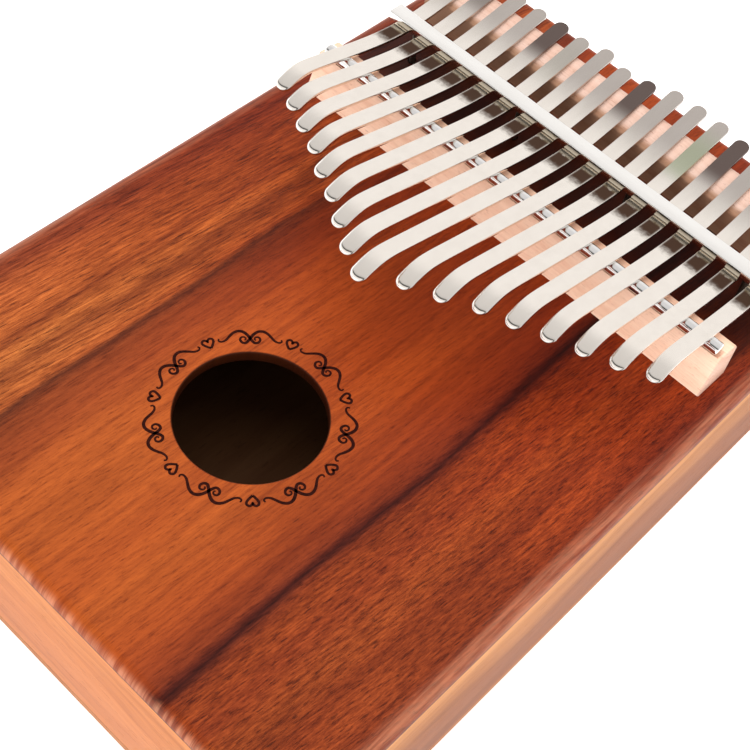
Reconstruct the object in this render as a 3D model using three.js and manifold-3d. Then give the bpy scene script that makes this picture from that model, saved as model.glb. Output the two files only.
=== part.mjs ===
// Seventeen-key box mbira (thumb piano): a hollow wooden box whose soundboard carries two
// wooden bridges, and seventeen steel tines that a pressure bar clamps between them.
// Millimetres. +X is the player's right, +Y runs from the tail to the head, +Z is up.
// The origin is the centre of the underside.

import * as THREE from "three";
import { mergeVertices } from "three/addons/utils/BufferGeometryUtils.js";
import Module from "manifold-3d";

const wasm = await Module();
wasm.setup();

// Box
const BOX_LENGTH = 185;
const BOX_WIDTH = 125;
const BOX_HEIGHT = 37;
const CORNER_RADIUS = 9;
const TOP_THICKNESS = 3;
const BACK_THICKNESS = 3;
const TOP_EDGE_RADIUS = 2.9;
const BACK_EDGE_RADIUS = 1;
const WALL = 7;
const GLUE_LINE = 0.1;
const FIT_GAP = 0.3;

// Sound openings
const SOUND_HOLE_Y = -41.6;
const SOUND_HOLE_RADIUS = 14.8;
const BACK_HOLE_X = 27;
const BACK_HOLE_Y = 14;
const BACK_HOLE_RADIUS = 5;

// Everything on the soundboard is placed from the foot of the front bridge's playing side.
const BOARD_TOP = BOX_HEIGHT;
const BRIDGE_Y = 27.9;
const BRIDGE_LENGTH = 112.4;

// Front bridge section, as distances behind its foot and heights over the soundboard
const FRONT_DEPTH = 9.5;
const FRONT_BACK_HEIGHT = 8.8;
const FRONT_LIP_Y = 3.3;
const FRONT_LIP_HEIGHT = 9.4;

// Steel rod that the tines cross
const ROD_RADIUS = 1.5;
const ROD_LENGTH = 109.6;
const ROD_Y = 4.6;
const ROD_HEIGHT = 10.2;
const GROOVE_END = 0.6;

// Rear bridge section, measured in the same way
const REAR_FRONT_Y = 38.6;
const REAR_BACK_Y = 50.4;
const REAR_SHOULDER_HEIGHT = 7.8;
const REAR_SHOULDER_Y = 40;
const REAR_SHOULDER_RISE = 1.1;
const REAR_CREST_Y = 46;
const REAR_CREST_HEIGHT = 10.3;
const REAR_CREST_HALF = 0.6;
const REAR_CREST_FALL = 0.1;
const REAR_BACK_TOP_Y = 47.8;
const REAR_BACK_TOP_HEIGHT = 9.9;

// Pressure bar
const BAR_LENGTH = 109;
const BAR_Y = 23.8;
const BAR_WIDTH = 4;
const BAR_HEIGHT = 2;
const BAR_UNDERSIDE = 9.2;

// Tines
const TINE_COUNT = 17;
const MIDDLE_TINE = 9;
const TINE_PITCH = 6.3;
const TINE_WIDTH = 3.7;
const TINE_THICKNESS = 0.8;
const TINE_REST = 0.1;

// Each tine is slid to its own length when it is tuned, the longest in the middle.
const TIP_YS = [
  -15.4, -18.6, -22, -25, -29.4, -32.9, -37.4, -41.7, -45.3,
  -39.2, -35.5, -31.1, -28.4, -25.2, -22.1, -18.9, -15,
];
const REAR_END_YS = [
  51.8, 52.1, 51.7, 51.6, 52.1, 51.9, 53.3, 51.8, 52.8, 54.9, 55.2, 55, 54.2, 54.6, 53.9, 54.3, 54,
];

// Shape of a tine's top line
const BAR_FRONT_SLOPE = 0.06;
const BAR_REAR_SLOPE = 0.02;
const TONGUE_SLOPE = 0.255;
const TIP_CURL_LENGTH = 13;
const TIP_CURL_DROP = 3.6;
const HINGE_GAP = 0.3;

// Bar screws come up from inside, through a brace and between the tines.
const SCREW_GAPS = [1, 6, 11, 16];
const SCREW_RADIUS = 0.8;
const SCREW_DEPTH_IN_BAR = 1.3;
const SCREW_HEAD_RADIUS = 2.8;
const SCREW_HEAD_HEIGHT = 1.8;
const SCREW_CROWN_RADIUS = 1.7;
const SCREW_RIM_HEIGHT = 0.8;
const WASHER_RADIUS = 4;
const WASHER_THICKNESS = 0.8;
const BRACE_DEPTH = 14;
const BRACE_HEIGHT = 8;
const BRACE_LENGTH = 110;

// Facets of the curved surfaces
const ARC_STEPS = 8;
const ROUND_STEPS = 40;
const SOUND_HOLE_STEPS = 56;
const BACK_HOLE_STEPS = 32;
const WASHER_STEPS = 24;
const SCREW_STEPS = 16;
const TONGUE_STEPS = 6;
const ROOT_FRONT_STEPS = 6;
const ROOT_REAR_STEPS = 5;

// How far a cutting tool stands out past the face it cuts
const CUT_PAST = 1;

const WOOD = { roughness: 0.45, metalness: 0 };
const STEEL = { roughness: 0.28, metalness: 1 };
const FINISH = {
  koa: { color: 0xa8481f, ...WOOD },
  mahogany: { color: 0xd9935f, ...WOOD },
  beech: { color: 0xe6b894, roughness: 0.6, metalness: 0 },
  tineSteel: { color: 0xd9d5cd, ...STEEL },
  barSteel: { color: 0xeeeeec, roughness: 0.18, metalness: 1 },
  zincSteel: { color: 0xb9bcbd, ...STEEL },
};

const instrument = new THREE.Group();

function addPart(name, geometry, finish) {
  const mesh = new THREE.Mesh(geometry, new THREE.MeshStandardMaterial(FINISH[finish]));
  mesh.name = name;
  instrument.add(mesh);
  return mesh;
}

// Solids for cutting

function toSolid(geometry) {
  const bare = geometry.clone();
  bare.deleteAttribute("normal");
  bare.deleteAttribute("uv");
  const merged = mergeVertices(bare, 1e-4);
  return new wasm.Manifold(
    new wasm.Mesh({
      numProp: 3,
      vertProperties: Float32Array.from(merged.attributes.position.array),
      triVerts: Uint32Array.from(merged.index.array),
    }),
  );
}

function toGeometry(solid) {
  const mesh = solid.getMesh();
  const geometry = new THREE.BufferGeometry();
  geometry.setAttribute("position", new THREE.BufferAttribute(mesh.vertProperties, 3));
  geometry.setIndex(new THREE.BufferAttribute(mesh.triVerts, 1));
  geometry.computeVertexNormals();
  return geometry;
}

function cut(geometry, tools) {
  const rest = tools.reduce((solid, tool) => solid.subtract(toSolid(tool)), toSolid(geometry));
  return toGeometry(rest);
}

function uprightCylinder(x, y, zLow, zHigh, radius, steps = ROUND_STEPS) {
  const geometry = new THREE.CylinderGeometry(radius, radius, zHigh - zLow, steps);
  geometry.rotateX(Math.PI / 2);
  geometry.translate(x, y, (zLow + zHigh) / 2);
  return geometry;
}

function crossCylinder(y, z, length, radius, steps = ROUND_STEPS) {
  const geometry = new THREE.CylinderGeometry(radius, radius, length, steps);
  geometry.rotateZ(Math.PI / 2);
  geometry.translate(0, y, z);
  return geometry;
}

// A section drawn in the Y-Z plane and drawn out along X, centred on x
function crossSection(points, x, width) {
  const shape = new THREE.Shape(points);
  const geometry = new THREE.ExtrudeGeometry(shape, { depth: width, bevelEnabled: false });
  geometry.translate(0, 0, -width / 2);
  geometry.applyMatrix4(
    new THREE.Matrix4().makeBasis(
      new THREE.Vector3(0, 1, 0),
      new THREE.Vector3(0, 0, 1),
      new THREE.Vector3(1, 0, 0),
    ),
  );
  geometry.translate(x, 0, 0);
  return geometry;
}

// Soundboard and back: a rounded rectangle with one rounded edge

function roundedOutline(inset) {
  const halfWidth = BOX_WIDTH / 2 - inset;
  const halfLength = BOX_LENGTH / 2 - inset;
  const radius = CORNER_RADIUS - inset;
  const points = [];
  for (let corner = 0; corner < 4; corner++) {
    const signX = corner === 0 || corner === 3 ? 1 : -1;
    const signY = corner < 2 ? 1 : -1;
    for (let step = 0; step <= ARC_STEPS; step++) {
      const angle = (corner + step / ARC_STEPS) * (Math.PI / 2);
      points.push([
        signX * (halfWidth - radius) + radius * Math.cos(angle),
        signY * (halfLength - radius) + radius * Math.sin(angle),
      ]);
    }
  }
  return points;
}

// Rings of equal point count, joined from the lowest to the highest and capped at both ends
function loft(rings) {
  const count = rings[0].points.length;
  const positions = rings.flatMap((ring) => ring.points.flatMap(([x, y]) => [x, y, ring.z]));
  const faces = [];
  for (let level = 0; level + 1 < rings.length; level++) {
    for (let i = 0; i < count; i++) {
      const a = level * count + i;
      const b = level * count + ((i + 1) % count);
      faces.push(a, b, b + count, a, b + count, a + count);
    }
  }
  const top = (rings.length - 1) * count;
  for (let i = 1; i + 1 < count; i++) {
    faces.push(0, i + 1, i);
    faces.push(top, top + i, top + i + 1);
  }
  const geometry = new THREE.BufferGeometry();
  geometry.setAttribute("position", new THREE.Float32BufferAttribute(positions, 3));
  geometry.setIndex(faces);
  return geometry;
}

function boardWithRoundedEdge(flatZ, roundedZ, radius) {
  const inward = Math.sign(flatZ - roundedZ);
  const rings = [{ points: roundedOutline(0), z: flatZ }];
  for (let step = 0; step <= ARC_STEPS; step++) {
    const angle = (step / ARC_STEPS) * (Math.PI / 2);
    rings.push({
      points: roundedOutline(radius * (1 - Math.cos(angle))),
      z: roundedZ + inward * radius * (1 - Math.sin(angle)),
    });
  }
  return loft(inward < 0 ? rings : rings.reverse());
}

function screwXs() {
  return SCREW_GAPS.map((gap) => (gap + 0.5 - MIDDLE_TINE) * TINE_PITCH);
}

const SCREW_Y = BRIDGE_Y + BAR_Y + BAR_WIDTH / 2;
const SCREW_BORE = SCREW_RADIUS + FIT_GAP;
const BOARD_UNDERSIDE = BOX_HEIGHT - TOP_THICKNESS;

function buildSoundboard() {
  const blank = boardWithRoundedEdge(BOARD_UNDERSIDE, BOX_HEIGHT, TOP_EDGE_RADIUS);
  const soundHole = uprightCylinder(
    0, SOUND_HOLE_Y, BOARD_UNDERSIDE - CUT_PAST, BOX_HEIGHT + CUT_PAST, SOUND_HOLE_RADIUS,
    SOUND_HOLE_STEPS,
  );
  const screwHoles = screwXs().map((x) =>
    uprightCylinder(
      x, SCREW_Y, BOARD_UNDERSIDE - CUT_PAST, BOX_HEIGHT + CUT_PAST, SCREW_BORE, SCREW_STEPS,
    ),
  );
  addPart("soundboard", cut(blank, [soundHole, ...screwHoles]), "koa");
}

function buildBackBoard() {
  const blank = boardWithRoundedEdge(BACK_THICKNESS, 0, BACK_EDGE_RADIUS);
  const holes = [-BACK_HOLE_X, BACK_HOLE_X].map((x) =>
    uprightCylinder(
      x, BACK_HOLE_Y, -CUT_PAST, BACK_THICKNESS + CUT_PAST, BACK_HOLE_RADIUS, BACK_HOLE_STEPS,
    ),
  );
  addPart("back_board", cut(blank, holes), "mahogany");
}

// Rim: four boards mitred at the corners, each with half of the two corner rounds

function rimOutline(halfAcross, halfAlong) {
  const miterStep = GLUE_LINE / 2 / Math.SQRT2;
  const centreAcross = halfAcross - CORNER_RADIUS;
  const centreAlong = halfAlong - CORNER_RADIUS;
  const outer = [];
  for (let step = 0; step <= ARC_STEPS / 2; step++) {
    const angle = (step / ARC_STEPS) * (Math.PI / 2);
    outer.push([
      centreAcross + CORNER_RADIUS * Math.cos(angle) + (step === ARC_STEPS / 2 ? miterStep : 0),
      centreAlong + CORNER_RADIUS * Math.sin(angle) - (step === ARC_STEPS / 2 ? miterStep : 0),
    ]);
  }
  const inner = [halfAcross - WALL + miterStep, halfAlong - WALL - miterStep];
  const head = [...outer, inner];
  const tail = head.map(([across, along]) => [across, -along]).reverse();
  return [...tail, ...head].map(([across, along]) => new THREE.Vector2(across, along));
}

function rimBoard(name, halfAcross, halfAlong, turn) {
  const shape = new THREE.Shape(rimOutline(halfAcross, halfAlong));
  const height = BOARD_UNDERSIDE - BACK_THICKNESS;
  const geometry = new THREE.ExtrudeGeometry(shape, { depth: height, bevelEnabled: false });
  geometry.rotateZ(turn);
  geometry.translate(0, 0, BACK_THICKNESS);
  addPart(name, geometry, "mahogany");
}

function buildRim() {
  rimBoard("right_side", BOX_WIDTH / 2, BOX_LENGTH / 2, 0);
  rimBoard("head_end", BOX_LENGTH / 2, BOX_WIDTH / 2, Math.PI / 2);
  rimBoard("left_side", BOX_WIDTH / 2, BOX_LENGTH / 2, Math.PI);
  rimBoard("tail_end", BOX_LENGTH / 2, BOX_WIDTH / 2, -Math.PI / 2);
}

// Bridges, rod and pressure bar

function buildFrontBridge() {
  const section = [
    [0, 0],
    [FRONT_DEPTH, 0],
    [FRONT_DEPTH, FRONT_BACK_HEIGHT],
    [FRONT_LIP_Y, FRONT_LIP_HEIGHT],
  ].map(([y, height]) => new THREE.Vector2(BRIDGE_Y + y, BOARD_TOP + height));
  const groove = crossCylinder(
    BRIDGE_Y + ROD_Y, BOARD_TOP + ROD_HEIGHT, ROD_LENGTH + 2 * GROOVE_END,
    ROD_RADIUS + TINE_REST,
  );
  addPart("front_bridge", cut(crossSection(section, 0, BRIDGE_LENGTH), [groove]), "beech");
}

function buildBridgeRod() {
  const rod = crossCylinder(BRIDGE_Y + ROD_Y, BOARD_TOP + ROD_HEIGHT, ROD_LENGTH, ROD_RADIUS);
  addPart("bridge_rod", rod, "zincSteel");
}

function buildRearBridge() {
  const section = [
    [REAR_FRONT_Y, 0],
    [REAR_BACK_Y, 0],
    [REAR_BACK_TOP_Y, REAR_BACK_TOP_HEIGHT],
    [REAR_CREST_Y + REAR_CREST_HALF, REAR_CREST_HEIGHT],
    [REAR_CREST_Y - REAR_CREST_HALF, REAR_CREST_HEIGHT - REAR_CREST_FALL],
    [REAR_SHOULDER_Y, REAR_SHOULDER_HEIGHT + REAR_SHOULDER_RISE],
    [REAR_FRONT_Y, REAR_SHOULDER_HEIGHT],
  ].map(([y, height]) => new THREE.Vector2(BRIDGE_Y + y, BOARD_TOP + height));
  addPart("rear_bridge", crossSection(section, 0, BRIDGE_LENGTH), "beech");
}

function buildPressureBar() {
  const bar = new THREE.BoxGeometry(BAR_LENGTH, BAR_WIDTH, BAR_HEIGHT);
  const underside = BOARD_TOP + BAR_UNDERSIDE;
  bar.translate(0, SCREW_Y, underside + BAR_HEIGHT / 2);
  const threads = screwXs().map((x) =>
    uprightCylinder(
      x, SCREW_Y, underside - CUT_PAST, underside + SCREW_DEPTH_IN_BAR + FIT_GAP / 2,
      SCREW_RADIUS + FIT_GAP / 2, SCREW_STEPS,
    ),
  );
  addPart("pressure_bar", cut(bar, threads), "barSteel");
}

// Brace and screws inside the box

const BRACE_UNDERSIDE = BOARD_UNDERSIDE - BRACE_HEIGHT;

function buildBrace() {
  const brace = new THREE.BoxGeometry(BRACE_LENGTH, BRACE_DEPTH, BRACE_HEIGHT);
  brace.translate(0, SCREW_Y, BOARD_UNDERSIDE - BRACE_HEIGHT / 2);
  const holes = screwXs().map((x) =>
    uprightCylinder(
      x, SCREW_Y, BRACE_UNDERSIDE - CUT_PAST, BOARD_UNDERSIDE + CUT_PAST, SCREW_BORE,
      SCREW_STEPS,
    ),
  );
  addPart("bridge_brace", cut(brace, holes), "mahogany");
}

function latheRing(profile, x, y, z, steps) {
  const points = profile.map(([radius, height]) => new THREE.Vector2(radius, height));
  const geometry = new THREE.LatheGeometry(points, steps);
  geometry.rotateX(Math.PI / 2);
  geometry.translate(x, y, z);
  return geometry;
}

function buildWasher(number, x) {
  const profile = [
    [SCREW_BORE, -WASHER_THICKNESS],
    [WASHER_RADIUS, -WASHER_THICKNESS],
    [WASHER_RADIUS, 0],
    [SCREW_BORE, 0],
    [SCREW_BORE, -WASHER_THICKNESS],
  ];
  const ring = latheRing(profile, x, SCREW_Y, BRACE_UNDERSIDE, WASHER_STEPS);
  addPart(`bar_washer_${number}`, ring, "zincSteel");
}

function buildScrew(number, x) {
  const headTop = BRACE_UNDERSIDE - WASHER_THICKNESS;
  const tip = BOARD_TOP + BAR_UNDERSIDE + SCREW_DEPTH_IN_BAR - headTop;
  const profile = [
    [0, -SCREW_HEAD_HEIGHT],
    [SCREW_CROWN_RADIUS, -SCREW_HEAD_HEIGHT],
    [SCREW_HEAD_RADIUS, -SCREW_RIM_HEIGHT],
    [SCREW_HEAD_RADIUS, 0],
    [SCREW_RADIUS, 0],
    [SCREW_RADIUS, tip],
    [0, tip],
  ];
  const screw = latheRing(profile, x, SCREW_Y, headTop, SCREW_STEPS);
  addPart(`bar_screw_${number}`, screw, "zincSteel");
}

// Tines. A tine's top line is a height over the soundboard for each distance behind the
// front bridge's foot. The root runs from the rear end, over the rear bridge and under the
// bar, to the rod. The tongue runs on from the rod to the tip, and is what a thumb plucks.

const ROD_CREST = ROD_HEIGHT + ROD_RADIUS + TINE_REST + TINE_THICKNESS;
const CLAMPED_TOP = BAR_UNDERSIDE - TINE_REST;
const REAR_CREST = REAR_CREST_HEIGHT + TINE_REST + TINE_THICKNESS;

const BAR_BACK_Y = BAR_Y + BAR_WIDTH;

function tongueTop(y, tip) {
  const fromTip = y - tip;
  const curl = Math.max(0, 1 - fromTip / TIP_CURL_LENGTH);
  return ROD_CREST + TONGUE_SLOPE * (ROD_Y - y) - TIP_CURL_DROP * curl ** 3;
}

// Rise of a strip that leaves the bar at one slope and reaches its bridge at another
function bentRise(share, span, startSlope, rise) {
  const bend = rise - startSlope * span;
  return startSlope * span * share + bend * (1.5 * share ** 2 - 0.5 * share ** 3);
}

function rootTop(y) {
  if (y < BAR_Y) {
    const span = BAR_Y - ROD_Y;
    const rise = ROD_CREST - CLAMPED_TOP;
    return CLAMPED_TOP + bentRise((BAR_Y - y) / span, span, BAR_FRONT_SLOPE, rise);
  }
  if (y <= BAR_BACK_Y) {
    return CLAMPED_TOP;
  }
  const span = REAR_CREST_Y - BAR_BACK_Y;
  const rise = REAR_CREST - CLAMPED_TOP;
  if (y <= REAR_CREST_Y) {
    return CLAMPED_TOP + bentRise((y - BAR_BACK_Y) / span, span, BAR_REAR_SLOPE, rise);
  }
  const endSlope = BAR_REAR_SLOPE + (1.5 * (rise - BAR_REAR_SLOPE * span)) / span;
  return REAR_CREST + endSlope * (y - REAR_CREST_Y);
}

const SLOPE_STEP = 0.01;

function stripPoints(ys, top) {
  const upper = ys.map((y) => new THREE.Vector2(BRIDGE_Y + y, BOARD_TOP + top(y)));
  const slopes = ys.map((y) => (top(y + SLOPE_STEP) - top(y - SLOPE_STEP)) / (2 * SLOPE_STEP));
  const lower = upper.map((point, i) => {
    const length = Math.hypot(1, slopes[i]);
    return new THREE.Vector2(
      point.x + (TINE_THICKNESS * slopes[i]) / length,
      point.y - TINE_THICKNESS / length,
    );
  });
  return [...lower, ...upper.reverse()];
}

function spaced(start, end, count) {
  return Array.from({ length: count + 1 }, (_, i) => start + ((end - start) * i) / count);
}

function buildTine(number) {
  const x = (number - MIDDLE_TINE) * TINE_PITCH;
  const label = String(number).padStart(2, "0");
  const tip = TIP_YS[number - 1];
  const rootYs = [
    ...spaced(ROD_Y + HINGE_GAP / 2, BAR_Y, ROOT_FRONT_STEPS),
    ...spaced(BAR_BACK_Y, REAR_CREST_Y, ROOT_REAR_STEPS),
    REAR_END_YS[number - 1],
  ];
  const tongueYs = [
    ...spaced(tip, tip + TIP_CURL_LENGTH, TONGUE_STEPS),
    ROD_Y - HINGE_GAP / 2,
  ];
  const root = stripPoints(rootYs, rootTop);
  const tongue = stripPoints(tongueYs, (y) => tongueTop(y, tip));
  addPart(`tine_${label}_root`, crossSection(root, x, TINE_WIDTH), "tineSteel");
  addPart(`tine_${label}`, crossSection(tongue, x, TINE_WIDTH), "tineSteel");
}

buildSoundboard();
buildBackBoard();
buildRim();
buildBrace();
buildFrontBridge();
buildBridgeRod();
buildRearBridge();
buildPressureBar();
screwXs().forEach((x, index) => {
  buildWasher(index + 1, x);
  buildScrew(index + 1, x);
});
for (let number = 1; number <= TINE_COUNT; number++) {
  buildTine(number);
}

export default instrument;
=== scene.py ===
"""Looks of a seventeen-key box mbira: figured wooden box, steel tines, bridges and pressure bar.

Sizes are millimetres unless a name ends in _m. +X is across the tines, +Y runs to the head, +Z is up.
"""

from math import cos, hypot, pi, radians, sin

import bmesh
import bpy
from mathutils import Matrix, Vector


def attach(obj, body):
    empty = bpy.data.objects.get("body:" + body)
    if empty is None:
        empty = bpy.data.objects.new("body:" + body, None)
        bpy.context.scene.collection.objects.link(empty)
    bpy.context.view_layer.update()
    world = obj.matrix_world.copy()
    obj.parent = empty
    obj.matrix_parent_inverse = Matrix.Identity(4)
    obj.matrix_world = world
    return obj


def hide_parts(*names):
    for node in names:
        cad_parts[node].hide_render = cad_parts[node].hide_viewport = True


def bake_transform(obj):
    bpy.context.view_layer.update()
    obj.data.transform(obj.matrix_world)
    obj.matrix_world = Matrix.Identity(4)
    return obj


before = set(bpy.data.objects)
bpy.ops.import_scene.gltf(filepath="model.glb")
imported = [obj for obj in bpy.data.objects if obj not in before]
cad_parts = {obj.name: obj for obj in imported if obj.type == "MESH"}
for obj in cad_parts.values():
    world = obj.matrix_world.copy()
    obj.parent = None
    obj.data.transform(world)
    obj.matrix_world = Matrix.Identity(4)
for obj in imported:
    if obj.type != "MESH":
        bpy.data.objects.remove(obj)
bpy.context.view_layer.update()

scene = bpy.context.scene
MM = 0.001

# ---------------------------------------------------------------- sizes, as in the CAD part
BOX_LENGTH = 185
BOX_WIDTH = 125
BOX_HEIGHT = 37
CORNER_RADIUS = 9
TOP_THICKNESS = 3
BACK_THICKNESS = 3
TOP_EDGE_RADIUS = 2.9
BACK_EDGE_RADIUS = 1
WALL = 7
SOUND_HOLE_Y = -41.6
SOUND_HOLE_RADIUS = 14.8
BACK_HOLES = [(-27, 14, 5), (27, 14, 5)]
BRIDGE_Y = 27.9
BRIDGE_LENGTH = 112.4
ROD_Y = 4.6
ROD_HEIGHT = 10.2
ROD_RADIUS = 1.5
ROD_LENGTH = 109.6
BAR_Y = 23.8
BAR_WIDTH = 4
BAR_HEIGHT = 2
BAR_UNDERSIDE = 9.2
BAR_LENGTH = 109
REAR_CREST_Y = 46
REAR_CREST_HEIGHT = 10.3
TINE_COUNT = 17
MIDDLE_TINE = 9
TINE_PITCH = 6.3
TINE_WIDTH = 3.7
TINE_THICKNESS = 0.8
TINE_REST = 0.1
TIP_YS = [
    -15.4, -18.6, -22, -25, -29.4, -32.9, -37.4, -41.7, -45.3,
    -39.2, -35.5, -31.1, -28.4, -25.2, -22.1, -18.9, -15,
]
REAR_END_YS = [
    51.8, 52.1, 51.7, 51.6, 52.1, 51.9, 53.3, 51.8, 52.8, 54.9, 55.2, 55, 54.2, 54.6, 53.9, 54.3, 54,
]
BAR_FRONT_SLOPE = 0.06
BAR_REAR_SLOPE = 0.02
TONGUE_SLOPE = 0.255
TIP_CURL_LENGTH = 13
TIP_CURL_DROP = 3.6
SCREW_GAPS = [1, 6, 11, 16]
SCREW_Y = BRIDGE_Y + BAR_Y + BAR_WIDTH / 2

# ---------------------------------------------------------------- camera
CAMERA_PLACE = Vector((105.5, -155.0, 270.0)) * MM
CAMERA_HEADING = 2.1233
CAMERA_PITCH = -0.9275
CAMERA_ROLL = 0.2387
CAMERA_LENS = 70.54
CAMERA_SHIFT = (-0.0734, -0.0200)

forward = Vector(
    (
        cos(CAMERA_PITCH) * cos(CAMERA_HEADING),
        cos(CAMERA_PITCH) * sin(CAMERA_HEADING),
        sin(CAMERA_PITCH),
    )
)
level_right = forward.cross(Vector((0, 0, 1))).normalized()
level_up = level_right.cross(forward)
right = level_right * cos(CAMERA_ROLL) + level_up * sin(CAMERA_ROLL)
up = level_up * cos(CAMERA_ROLL) - level_right * sin(CAMERA_ROLL)
turn = Matrix((right, up, -forward)).transposed()
camera_data = bpy.data.cameras.new("camera")
camera_data.lens = CAMERA_LENS
camera_data.sensor_width = 36
camera_data.shift_x, camera_data.shift_y = CAMERA_SHIFT
camera_data.clip_start = 0.01
camera = bpy.data.objects.new("camera", camera_data)
camera.matrix_world = Matrix.Translation(CAMERA_PLACE) @ turn.to_4x4()
scene.collection.objects.link(camera)
scene.camera = camera
scene.view_settings.view_transform = "Standard"


# ---------------------------------------------------------------- node graphs
def srgb(red, green, blue):
    """Scene-linear colour of an 8-bit screen colour."""
    return tuple(
        (c / 12.92 if c <= 0.04045 else ((c + 0.055) / 1.055) ** 2.4)
        for c in (red / 255, green / 255, blue / 255)
    ) + (1.0,)


class Graph:
    """Adds nodes to a material or world and joins them up."""

    def __init__(self, tree):
        self.tree = tree
        tree.nodes.clear()

    def node(self, kind, **settings):
        made = self.tree.nodes.new(kind)
        for key, value in settings.items():
            setattr(made, key, value)
        return made

    def put(self, socket, value):
        if isinstance(value, bpy.types.NodeSocket):
            self.tree.links.new(value, socket)
        else:
            socket.default_value = value

    def math(self, operation, first, second=0.0, third=0.0):
        made = self.node("ShaderNodeMath", operation=operation)
        for socket, value in zip(made.inputs, (first, second, third)):
            self.put(socket, value)
        return made.outputs[0]

    def times(self, first, second):
        return self.math("MULTIPLY", first, second)

    def absolute(self, value):
        return self.math("ABSOLUTE", value)

    def place(self):
        return self.node("ShaderNodeTexCoord").outputs["Object"]

    def place_mm(self):
        return self.stretch(self.place(), (1000, 1000, 1000))

    def stretch(self, vector, scale):
        made = self.node("ShaderNodeMapping", vector_type="POINT")
        self.put(made.inputs["Vector"], vector)
        made.inputs["Scale"].default_value = scale
        return made.outputs[0]

    def noise(self, vector, scale=1.0, detail=3.0, roughness=0.55):
        made = self.node("ShaderNodeTexNoise")
        self.put(made.inputs["Vector"], vector)
        for key, value in (("Scale", scale), ("Detail", detail), ("Roughness", roughness)):
            made.inputs[key].default_value = value
        return made.outputs[0]

    def ramp(self, value, stops):
        made = self.node("ShaderNodeValToRGB")
        elements = made.color_ramp.elements
        while len(elements) < len(stops):
            elements.new(0.5)
        for element, (position, color) in zip(elements, stops):
            element.position = position
            element.color = color if len(color) == 4 else (*color, 1.0)
        self.put(made.inputs[0], value)
        return made.outputs[0]

    def shade(self, value, low, high, dark=0.0, light=1.0):
        """Maps a value between low and high to a number between dark and light."""
        made = self.node("ShaderNodeMapRange", interpolation_type="SMOOTHSTEP")
        for socket, number in zip(made.inputs, (value, low, high, dark, light)):
            self.put(socket, number)
        return made.outputs[0]

    def mix(self, amount, first, second, blend="MIX"):
        made = self.node("ShaderNodeMix", data_type="RGBA", blend_type=blend)
        self.put(made.inputs[0], amount)
        self.put(made.inputs[6], first)
        self.put(made.inputs[7], second)
        return made.outputs[2]

    def tone(self, color, value, stops):
        """Multiplies a colour by a ramp of the value. Ramp colours may pass 1."""
        return self.mix(1.0, color, self.ramp(value, stops), "MULTIPLY")

    def bump(self, height, distance, strength=1.0):
        made = self.node("ShaderNodeBump")
        made.inputs["Strength"].default_value = strength
        made.inputs["Distance"].default_value = distance
        self.put(made.inputs["Height"], height)
        return made.outputs[0]

    def finish(self, color, roughness, normal=None, **fixed):
        shader = self.node("ShaderNodeBsdfPrincipled")
        self.put(shader.inputs["Base Color"], color)
        self.put(shader.inputs["Roughness"], roughness)
        if normal is not None:
            self.put(shader.inputs["Normal"], normal)
        for key, value in fixed.items():
            shader.inputs[key.replace("_", " ")].default_value = value
        out = self.node("ShaderNodeOutputMaterial")
        self.put(out.inputs[0], shader.outputs[0])


def new_material(name):
    material = bpy.data.materials.new(name)
    material.use_nodes = True
    return material, Graph(material.node_tree)


def across_along(graph, grain):
    """Object position with the grain turned to Y, in millimetres."""
    split = graph.node("ShaderNodeSeparateXYZ")
    graph.put(split.inputs[0], graph.place_mm())
    if grain == "y":
        return split.outputs[0], split.outputs[1], split.outputs[2]
    return split.outputs[1], split.outputs[0], split.outputs[2]


def combine(graph, x, y, z):
    made = graph.node("ShaderNodeCombineXYZ")
    for socket, value in zip(made.inputs, (x, y, z)):
        graph.put(socket, value)
    return made.outputs[0]


KOA_SPAN = 128
KOA_BANDS = [  # (distance across the box, colour)
    (-64, (150, 70, 50)), (-57, (142, 62, 41)), (-52, (172, 84, 48)), (-46, (184, 94, 52)),
    (-43, (160, 77, 43)), (-40, (195, 106, 60)), (-37, (140, 67, 37)), (-34, (182, 95, 53)),
    (-31.5, (176, 87, 48)), (-30.3, (100, 45, 30)), (-28, (150, 68, 37)), (-23, (162, 73, 38)),
    (-16, (188, 92, 44)), (-6, (190, 93, 43)), (4, (178, 82, 37)), (12, (190, 92, 42)),
    (20, (176, 79, 35)), (26, (154, 64, 30)), (28.8, (132, 52, 27)), (30.2, (92, 30, 20)),
    (31, (60, 16, 13)), (31.6, (88, 30, 20)), (32.6, (128, 50, 26)), (35.5, (150, 64, 29)),
    (40, (146, 60, 30)), (45, (162, 74, 36)), (50, (144, 60, 29)), (55, (156, 68, 34)),
    (60, (134, 54, 30)),
]
LEFT_WING_EDGE = -30.9
RIGHT_WING_EDGE = 31.5
# Tones from the tail (0) to the head (1): of the whole board, and of the right wing on top of that
KOA_FINISH = [
    (0.16, (0.70, 0.68, 0.44)), (0.42, (0.60, 0.45, 0.24)),
    (0.6, (0.53, 0.33, 0.18)), (0.9, (0.58, 0.42, 0.28)),
]
RIGHT_WING_FINISH = [
    (0.08, (0.88, 0.80, 0.76)), (0.3, (0.95, 0.92, 0.90)),
    (0.42, (1.16, 1.14, 0.98)), (0.7, (1.18, 1.16, 1.0)),
]
KOA_PORE = (58, 16, 10)
KOA_IN_SHADE = (34, 9, 6)
KOA_HOLE_SHADE = (26, 9, 5)
RIM_SHEEN_STREAKS = (138, 74, 54), (206, 142, 110)
GLUE_SEAM = (66, 36, 22)
WOOD_SPECULAR = 0.12


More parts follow.
